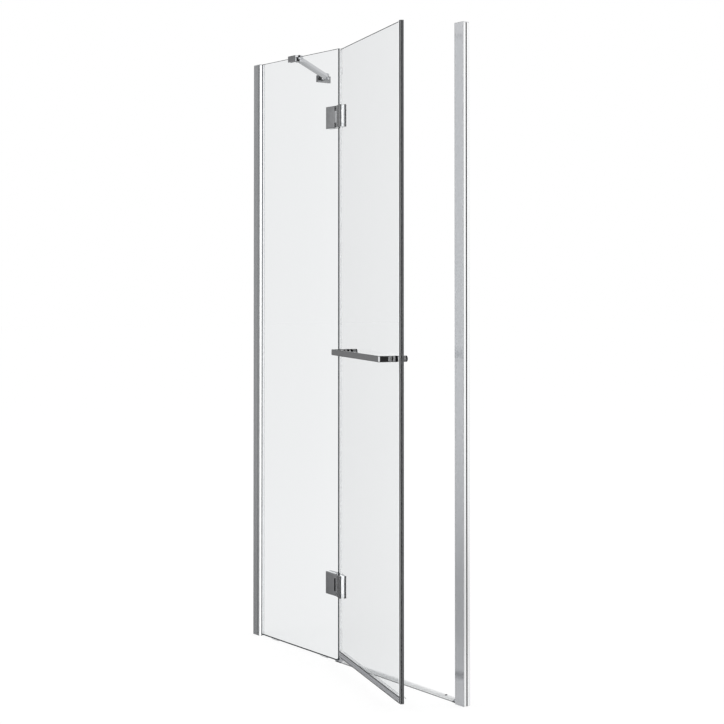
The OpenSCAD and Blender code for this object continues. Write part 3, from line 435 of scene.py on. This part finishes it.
# Wall profiles
def dress_channel(side):
    """A wall channel whose web has a dark sealing strip in a groove along its middle."""
    node = side + "_wall_channel"
    wall = 0 if side == "left" else WALL_TO_WALL
    groove_half, groove_depth = 2.2, 1.2
    bm = cad_copy(node, FRAME_BODY)
    bm = carve(bm, (wall - groove_depth, -groove_half, BELOW), (wall + groove_depth, groove_half, TALL))
    paint(bm, ACCENT, lambda c: NEAR < abs(c.x - wall) < groove_depth + NEAR
          and abs(c.y) < groove_half + NEAR)
    round_edges(bm, width=0.3, segments=2)
    finish_piece(bm, FRAME_BODY, node, "satin_aluminium", drawn_channel, rubber)


def dress_left_profile():
    """The left profile with a fine groove beside its inner edge, which leaves more gasket in view. The
    groove's floor is painted black, a painted shade in the recess.
    """
    node = "left_glass_profile"
    groove_low, groove_high, depth = 27.4, 29.0, 0.8
    edge_from, edge_shift = 36.0, 1.8
    bm = cad_copy(node, FRAME_BODY)
    for vert in bm.verts:
        if vert.co.x > edge_from * MM:
            vert.co.x -= edge_shift * MM
    front = reach(bm, Y)[0]
    round_edges(bm, width=1.6, segments=5)
    bm = carve(bm, (groove_low, front - PROUD, BELOW), (groove_high, front + depth, TALL))
    # Painted shade: the groove's floor takes the black rubber.
    paint(bm, ACCENT, lambda c: groove_low - NEAR < c.x < groove_high + NEAR
          and front + NEAR < c.y < front + depth + NEAR)
    finish_piece(bm, FRAME_BODY, node, "satin_aluminium", drawn_upright_painted_shade, rubber)


def dress_glass_gaskets():
    """Pale lips; the outer one has a dark bead along the edge that lies on the glass."""
    node = "left_glass_gaskets"
    bead_x, lip_x = 41.2, 43.0
    bm = cad_copy(node, FRAME_BODY)
    for vert in bm.verts:
        vert.co.x = min(vert.co.x, lip_x * MM)
    round_edges(bm, width=0.5, segments=2)
    split_at(bm, X, bead_x)
    paint(bm, ACCENT, lambda c: c.x > bead_x and c.y < 0)
    finish_piece(bm, FRAME_BODY, node, "clear_plastic", milky_painted_glow, rubber)


# Threshold
def dress_sill(node, slot, material, front_shade_material):
    """A piece of the threshold whose low front edge is painted darker than the rest, as painted shade
    along its foot.
    """
    bm = cad_copy(node, FRAME_BODY)
    # Faces looking to the front take the darker material: painted shade.
    for face in bm.faces:
        face.material_index = ACCENT if face.normal.y < -ALONG else MAIN
    round_edges(bm, width=0.4)
    finish_piece(bm, FRAME_BODY, node, slot, material, front_shade_material)


def dress_sill_screws():
    """The threshold's screws with low domed heads."""
    node = "threshold_screws"
    head_r, head_rise, head_z, screw_r = 4.2, 2.4, 7.0, 3.0
    bm = cad_copy(node, FRAME_BODY)
    round_edges(bm, width=0.2, segments=2)
    middle_y = sum(v.co.y for v in bm.verts) / len(bm.verts)
    low_x, high_x = reach(bm, X)
    for x in (low_x + screw_r, high_x - screw_r):
        place = Matrix.Translation((x * MM, middle_y, head_z * MM))
        shape = Matrix.Diagonal((head_r * MM, head_r * MM, head_rise * MM, 1))
        bmesh.ops.create_uvsphere(bm, u_segments=24, v_segments=12, radius=1, matrix=place @ shape)
    finish_piece(bm, FRAME_BODY, node, "dark_screws", dark_steel)


# Brace
def dress_flange():
    """The brace's wall flange in dark smoked chrome, its screw holes' walls painted black: painted shade
    on the plate and in the holes.
    """
    node = "brace_wall_flange"
    hole_r, plate_front = 2.4, 6
    bm = cad_copy(node, FRAME_BODY)
    round_edges(bm, width=1.0, chosen=lambda e: e.calc_length() > hole_r * MM)
    # Painted shade: the walls of the screw holes in black nylon.
    paint(bm, ACCENT, lambda c: c.x < plate_front and any(
        math.hypot(c.y - FLANGE_Y - side * FLANGE_PITCH / 2, c.z - FLANGE_Z) < hole_r + NEAR
        for side in (-1, 1)))
    finish_piece(bm, FRAME_BODY, node, "chrome", smoked_and_shade, nylon)


def dress_clamp():
    """The glass clamp. The end face of its inner jaw is painted black, a painted dark reflection."""
    node = "brace_glass_clamp"
    bm = cad_copy(node, FRAME_BODY)
    end_x = reach(bm, X)[1]
    split_at(bm, Y, GLASS_HALF)
    # Painted dark reflection: the inner jaw's end face in black nylon.
    paint(bm, ACCENT, lambda c: c.x > end_x - NEAR and c.y > GLASS_HALF)
    round_edges(bm, width=1.1, segments=4)
    finish_piece(bm, FRAME_BODY, node, "chrome", chrome, nylon)


# Hinges
def dress_leaf(prefix, body):
    """A hinge leaf with well rounded front edges. Its faces beside the other leaf's knuckles are painted
    black, a painted shade in the gap. Its faces behind the front plate are painted pale and glowing on
    the door, a painted light, and black on the fixed panel, a painted shade."""
    node = prefix + "_leaf"
    relief, spacer_y, long_edge, level, beyond_knuckles = 7.5, -9.1, 20, 1, 20
    front_rounding = 1.8 if body == FRAME_BODY else 0.7
    bm = cad_copy(node, body)
    front = reach(bm, Y)[0]
    # Painted shade: the faces beside the other leaf's knuckles in black.
    paint(bm, ACCENT, lambda c: abs(abs(c.x - PIN_X) - relief) < NEAR)
    # Inward faces: glowing pale on the door, a painted light; black on the fixed panel, a painted shade.
    for face in bm.faces:
        inward = face.calc_center_median().y > spacer_y * MM
        if inward and max(face.normal.x, face.normal.y) > RATHER:
            face.material_index = THIRD if body == DOOR_BODY else ACCENT

    def front_outline(edge):
        first, second = edge.verts
        in_front = max(first.co.y, second.co.y) / MM < front + NEAR
        lies_level = abs(first.co.z - second.co.z) / MM < level
        outer = abs(first.co.x / MM - PIN_X) > beyond_knuckles
        return edge.calc_length() / MM > long_edge and in_front and (lies_level or outer)

    round_edges(bm, front_rounding, segments=4, chosen=front_outline, clamp=False)
    round_edges(bm, width=0.4, segments=2)
    finish_piece(bm, body, node, "chrome", chrome, nylon, milky_painted_glow)


def dress_plate(prefix, body):
    """A clamp plate behind the glass, its end towards +X painted black as painted shade."""
    node = prefix + "_plate"
    bm = cad_copy(node, body)
    end_x = reach(bm, X)[1]
    # Painted shade: the end face towards +X in black nylon.
    paint(bm, ACCENT, lambda c: c.x > end_x - NEAR)
    round_edges(bm, width=0.5)
    finish_piece(bm, body, node, "chrome", chrome, nylon)


# Handle
def dress_bar():
    """The flat bar with its long edges well rounded."""
    node = "handle_bar"
    bm = cad_copy(node, DOOR_BODY)
    for level in reach(bm, Z):
        round_edges(bm, width=2.2, segments=5, clamp=False,
                    chosen=lambda e: all(abs(v.co.z / MM - level) < NEAR for v in e.verts))
    finish_piece(bm, DOOR_BODY, node, "chrome", chrome)


def dress_handle_bases():
    """Satin bases with a black ring, black next to the glass. The black ring is painted shade in the
    base's groove, and the light satin bands beside it also paint the chrome's highlight.
    """
    node = "handle_bases"
    ring_low, ring_high, foot = -22.6, -18.8, -12.0
    bm = cad_copy(node, DOOR_BODY)
    round_edges(bm, width=0.5)
    split_at(bm, Y, ring_low, ring_high, foot)
    # Painted shade in the groove: the black ring. The foot next to the glass is black too.
    paint(bm, ACCENT, lambda c: ring_low < c.y < ring_high or c.y > foot)
    finish_piece(bm, DOOR_BODY, node, "chrome", satin, nylon)


def dress_knobs():
    """Satin knobs, black next to the glass and at the rounded end."""
    node = "handle_knobs"
    low, high = 10.0, 21.0
    bm = cad_copy(node, DOOR_BODY)
    round_edges(bm, width=0.9)
    split_at(bm, Y, low, high)
    paint(bm, ACCENT, lambda c: not low < c.y < high)
    finish_piece(bm, DOOR_BODY, node, "chrome", satin, nylon)


# Door edges
def dress_rail():
    """The door's bottom rail with a dark line along the top and the bottom of its front."""
    node = "door_bottom_rail"
    line, front = 2.8, -5.0
    bm = cad_copy(node, DOOR_BODY)
    low, high = reach(bm, Z)
    low += line
    high -= line
    round_edges(bm, width=0.5)
    split_at(bm, Z, low, high)
    paint(bm, ACCENT, lambda c: c.y < front and not low < c.z < high)
    finish_piece(bm, DOOR_BODY, node, "satin_aluminium", drawn_door, smoked_and_shade)


def dress_magnet_seal():
    """The closing edge's seal: pale clip, glowing with painted light that also stands for the highlight
    along its edge, grey block with a narrow dark slot along its end.
    The block is slimmer on the inside, as the photograph shows it."""
    node = "door_magnet_seal"
    slot_low, slot_high, slot_depth = -4.8, -1.4, 0.8
    outer_from, outer_shift, inner_from, inner_shift = 5.5, 1.8, 4.5, 1.1
    bm = cad_copy(node, DOOR_BODY)
    end_x = reach(bm, X)[1]
    for vert in bm.verts:
        if vert.co.y > outer_from * MM:
            vert.co.y -= outer_shift * MM
        elif vert.co.y > inner_from * MM:
            vert.co.y -= inner_shift * MM
    bm = carve(bm, (end_x - slot_depth, slot_low, BELOW), (end_x + PROUD, slot_high, TALL))
    # The clip keeps the glowing pale vinyl: a painted highlight along its edge.
    paint(bm, THIRD, lambda c: c.x > end_x - BLOCK_W - NEAR)
    paint(bm, ACCENT, lambda c: slot_low - NEAR < c.y < slot_high + NEAR
          and end_x - slot_depth - NEAR < c.x < end_x - NEAR)
    round_edges(bm, width=0.4, segments=2)
    finish_piece(bm, DOOR_BODY, node, "clear_plastic", milky_painted_glow, rubber, grey_vinyl)


# Fixed parts
for side in ("left", "right"):
    dress_channel(side)
    dress(side + "_profile_cap", FRAME_BODY, "satin_aluminium", drawn_level, rounding=0.4)
    dress(side + "_profile_screws", FRAME_BODY, "steel", steel, rounding=0.2, segments=2)
    dress(side + "_screw_covers", FRAME_BODY, "chrome", chrome, rounding=0.3)
dress_left_profile()
dress("right_strike_profile", FRAME_BODY, "satin_aluminium", drawn_strike, rounding=1.6, segments=5)
dress_glass_gaskets()
dress("glass_setting_blocks", FRAME_BODY, "clear_plastic", pvc, rounding=0.3)
dress("strike_magnet_seal", FRAME_BODY, "clear_plastic", pvc, rounding=0.5)
dress("strike_magnet_strip", FRAME_BODY, "magnet", magnet, rounding=0.2)
dress_sill("threshold_strip", "satin_aluminium", drawn_sill, smoked_and_shade)
dress_sill("threshold_left_block", "grey_caps", grey_plastic, nylon)
dress_sill("threshold_right_block", "grey_caps", grey_plastic, nylon)
dress_sill_screws()
dress_flange()
dress("brace_forks", FRAME_BODY, "chrome", chrome, rounding=0.6)
dress("brace_pivot_pins", FRAME_BODY, "steel", steel, rounding=0.3)
dress("brace_bar", FRAME_BODY, "chrome", chrome, rounding=0.3)
dress_clamp()
dress("brace_clamp_liner", FRAME_BODY, "dark_gasket", rubber, rounding=0.15)
dress("brace_clamp_screws", FRAME_BODY, "steel", steel, rounding=0.15)
dress_pane("fixed_glass", FRAME_BODY, "fixed_pane", fixed_pane)

# Hinges
for hinge_name in ("upper_hinge", "lower_hinge"):
    for part, body in (("fixed", FRAME_BODY), ("door", DOOR_BODY)):
        prefix = hinge_name + "_" + part
        dress_leaf(prefix, body)
        dress_plate(prefix, body)
        dress(prefix + "_gaskets", body, "clear_plastic", milky_painted_glow, rounding=0.15)
        dress(prefix + "_screws", body, "steel", steel, rounding=0.2)
    dress(hinge_name + "_pin", FRAME_BODY, "steel", steel, rounding=0.4)
    dress(hinge_name + "_bushes", DOOR_BODY, "black_nylon", nylon, rounding=0.1)

# Door
dress_pane("door_glass", DOOR_BODY, "door_pane", door_pane)
dress("hinge_edge_seals", DOOR_BODY, "clear_plastic", thin_pvc, rounding=0.3)
dress_magnet_seal()
dress("door_magnet_strip", DOOR_BODY, "magnet", magnet, rounding=0.2)
dress_rail()
dress("rail_end_caps", DOOR_BODY, "grey_caps", grey_plastic, rounding=0.5)
dress("door_drip_seal", DOOR_BODY, "clear_plastic", thin_pvc, rounding=0.2)
dress_bar()
dress_handle_bases()
dress_knobs()
dress("handle_washers", DOOR_BODY, "clear_plastic", pvc, rounding=0.15)
dress("handle_bolts", DOOR_BODY, "steel", steel, rounding=0.3)


# Studio: all white to the camera and through glass. What metal and glass mirror has darker parts.
# Share of the turn from -X over -Y, +X and +Y, and how bright the studio is there
BACKDROP = ((0.0, 0.22), (0.06, 0.2), (0.099, 0.22), (0.1135, 0.98), (0.36, 1.0), (0.42, 0.1),
            (0.444, 0.03), (0.535, 0.03), (0.575, 1.0), (0.7, 1.0), (0.78, 0.8), (0.89, 0.8),
            (0.915, 0.35), (0.93, 0.1), (0.98, 0.12), (1.0, 0.22))
# Sine of the height above or below the horizon, and the share of that brightness there
HEIGHTS = ((-1.0, 0.16), (-0.46, 0.12), (-0.35, 0.9), (-0.25, 0.9), (-0.235, 0.62), (-0.2, 0.66),
           (-0.165, 0.86), (-0.09, 1.0), (0.4, 1.0), (0.56, 0.14), (1.0, 0.16))
# The same where the studio has a darker band, and how much of that there is around the turn
BAND_HEIGHTS = ((-1.0, 0.16), (-0.46, 0.12), (-0.35, 0.85), (-0.255, 0.85), (-0.24, 0.05),
                (-0.215, 0.06), (-0.17, 0.55), (-0.09, 1.0), (0.4, 1.0), (0.56, 0.14), (1.0, 0.16))
BAND_AROUND = ((0.0, 0.0), (0.112, 0.0), (0.117, 1.0), (0.3, 1.0), (0.35, 0.0))


def tone_ramp(tree, value, stops):
    ramp = add_node(tree, "ShaderNodeValToRGB")
    elements = ramp.color_ramp.elements
    elements.remove(elements[1])
    for i, (place, tone) in enumerate(stops):
        stop = elements[0] if i == 0 else elements.new(place)
        stop.position = place
        stop.color = (tone, tone, tone, 1)
    tree.links.new(value, ramp.inputs["Fac"])
    return ramp.outputs["Color"]


def share_of(tree, value, low, high):
    node = add_node(tree, "ShaderNodeMapRange")
    set_inputs(node, {"From Min": low, "From Max": high})
    tree.links.new(value, node.inputs["Value"])
    return node.outputs["Result"]


def seen(tree, path):
    """1 for what the camera sees, straight or through glass."""
    node = add_node(tree, "ShaderNodeMath", operation="MAXIMUM")
    tree.links.new(path.outputs["Is Camera Ray"], node.inputs[0])
    tree.links.new(path.outputs["Is Transmission Ray"], node.inputs[1])
    return node.outputs["Value"]


def mirrored(tree, path):
    """1 for what metal or glass mirrors."""
    node = add_node(tree, "ShaderNodeMath", operation="MINIMUM")
    node.inputs[1].default_value = 1.0
    tree.links.new(path.outputs["Glossy Depth"], node.inputs[0])
    return node.outputs["Value"]


def backdrop_tones(tree):
    """What metal and glass mirror: tones around the turn, times tones by height, with the band."""
    coords = add_node(tree, "ShaderNodeTexCoord")
    split = add_node(tree, "ShaderNodeSeparateXYZ")
    turn = add_node(tree, "ShaderNodeMath", operation="ARCTAN2")
    tree.links.new(coords.outputs["Generated"], split.inputs["Vector"])
    tree.links.new(split.outputs["Y"], turn.inputs[0])
    tree.links.new(split.outputs["X"], turn.inputs[1])
    turned = share_of(tree, turn.outputs["Value"], -math.pi, math.pi)
    height = share_of(tree, split.outputs["Z"], -1, 1)
    around = tone_ramp(tree, turned, BACKDROP)
    tones = []
    for stops in (HEIGHTS, BAND_HEIGHTS):
        upward = tone_ramp(tree, height, [((z + 1) / 2, tone) for z, tone in stops])
        both = add_node(tree, "ShaderNodeVectorMath", operation="MULTIPLY")
        tree.links.new(around, both.inputs[0])
        tree.links.new(upward, both.inputs[1])
        shiny = add_node(tree, "ShaderNodeBackground")
        tree.links.new(both.outputs["Vector"], shiny.inputs["Color"])
        tones.append(shiny.outputs["Background"])
    return mixed(tree, tone_ramp(tree, turned, BAND_AROUND), *tones)


def make_world():
    world = bpy.data.worlds.new("studio")
    bpy.context.scene.world = world
    world.use_nodes = True
    tree = world.node_tree
    tree.nodes.clear()
    out = add_node(tree, "ShaderNodeOutputWorld")
    path = add_node(tree, "ShaderNodeLightPath")
    white = add_node(tree, "ShaderNodeBackground")
    set_inputs(white, {"Color": WHITE, "Strength": 1.0})
    shown = mixed(tree, mirrored(tree, path), white.outputs["Background"], backdrop_tones(tree))
    tree.links.new(shown, out.inputs["Surface"])


# Part of the floor's brightness that shadows don't reach, and its strength
FLOOR_SHARE = 0.84
FLOOR_GLOW = 1.03
FLOOR_COLOUR = (0.85, 0.85, 0.85, 1)
FLOOR_HALF = 30.0
FLOOR_PLACE = (0.5, 0, -0.0005)


def make_floor():
    """A pale floor that keeps the shadow. Mirrored rays go through it to the studio's tones."""
    mat = bpy.data.materials.new("studio_floor")
    mat.use_nodes = True
    tree = mat.node_tree
    tree.nodes.clear()
    out = add_node(tree, "ShaderNodeOutputMaterial")
    path = add_node(tree, "ShaderNodeLightPath")
    matt = add_node(tree, "ShaderNodeBsdfDiffuse")
    matt.inputs["Color"].default_value = FLOOR_COLOUR
    plain = add_node(tree, "ShaderNodeEmission")
    set_inputs(plain, {"Color": WHITE, "Strength": FLOOR_GLOW})
    share = add_node(tree, "ShaderNodeMath", operation="MULTIPLY")
    share.inputs[1].default_value = FLOOR_SHARE
    tree.links.new(seen(tree, path), share.inputs[0])
    direct = mixed(tree, share.outputs["Value"], matt.outputs["BSDF"], plain.outputs["Emission"])
    through = add_node(tree, "ShaderNodeBsdfTransparent")
    shown = mixed(tree, mirrored(tree, path), direct, through.outputs["BSDF"])
    tree.links.new(shown, out.inputs["Surface"])
    bm = bmesh.new()
    bmesh.ops.create_grid(bm, x_segments=1, y_segments=1, size=FLOOR_HALF)
    floor = as_object(bm, "floor")
    floor.data.materials.append(mat)
    floor.location = FLOOR_PLACE


# Lamps, in metres and watts
LAMPS_AIM = (0.54, 0, 1.0)
LAMP_WIDTH = 3.0
KEY_PLACE, KEY_POWER = (-1.5, -3.5, 3.5), 60
FILL_PLACE, FILL_POWER = (3.0, 3.0, 2.8), 40


def add_lamp(name, place, power):
    data = bpy.data.lights.new(name, "AREA")
    data.shape = "DISK"
    data.size = LAMP_WIDTH
    data.energy = power
    lamp = bpy.data.objects.new(name, data)
    lamp.location = place
    aim = Vector(LAMPS_AIM) - Vector(place)
    lamp.rotation_euler = aim.to_track_quat("-Z", "Y").to_euler()
    lamp.visible_glossy = False
    lamp.visible_transmission = False
    bpy.context.scene.collection.objects.link(lamp)


# Camera, fitted to edges of the photograph
SENSOR = 36.0
LENS = 72.63
SHIFT_Y = -0.14678
CAMERA_PLACE = (4.21599, -2.77068, 1.20729)
YAW = math.radians(52.5566)
PITCH = math.radians(0.994)


def make_camera():
    data = bpy.data.cameras.new("camera")
    data.sensor_width = SENSOR
    data.lens = LENS
    data.shift_y = SHIFT_Y
    camera = bpy.data.objects.new("camera", data)
    camera.location = CAMERA_PLACE
    camera.rotation_euler = (math.pi / 2 + PITCH, 0, YAW)
    bpy.context.scene.collection.objects.link(camera)
    bpy.context.scene.camera = camera


make_world()
make_floor()
add_lamp("key", KEY_PLACE, KEY_POWER)
add_lamp("fill", FILL_PLACE, FILL_POWER)
make_camera()

bpy.context.scene.view_settings.view_transform = "Standard"
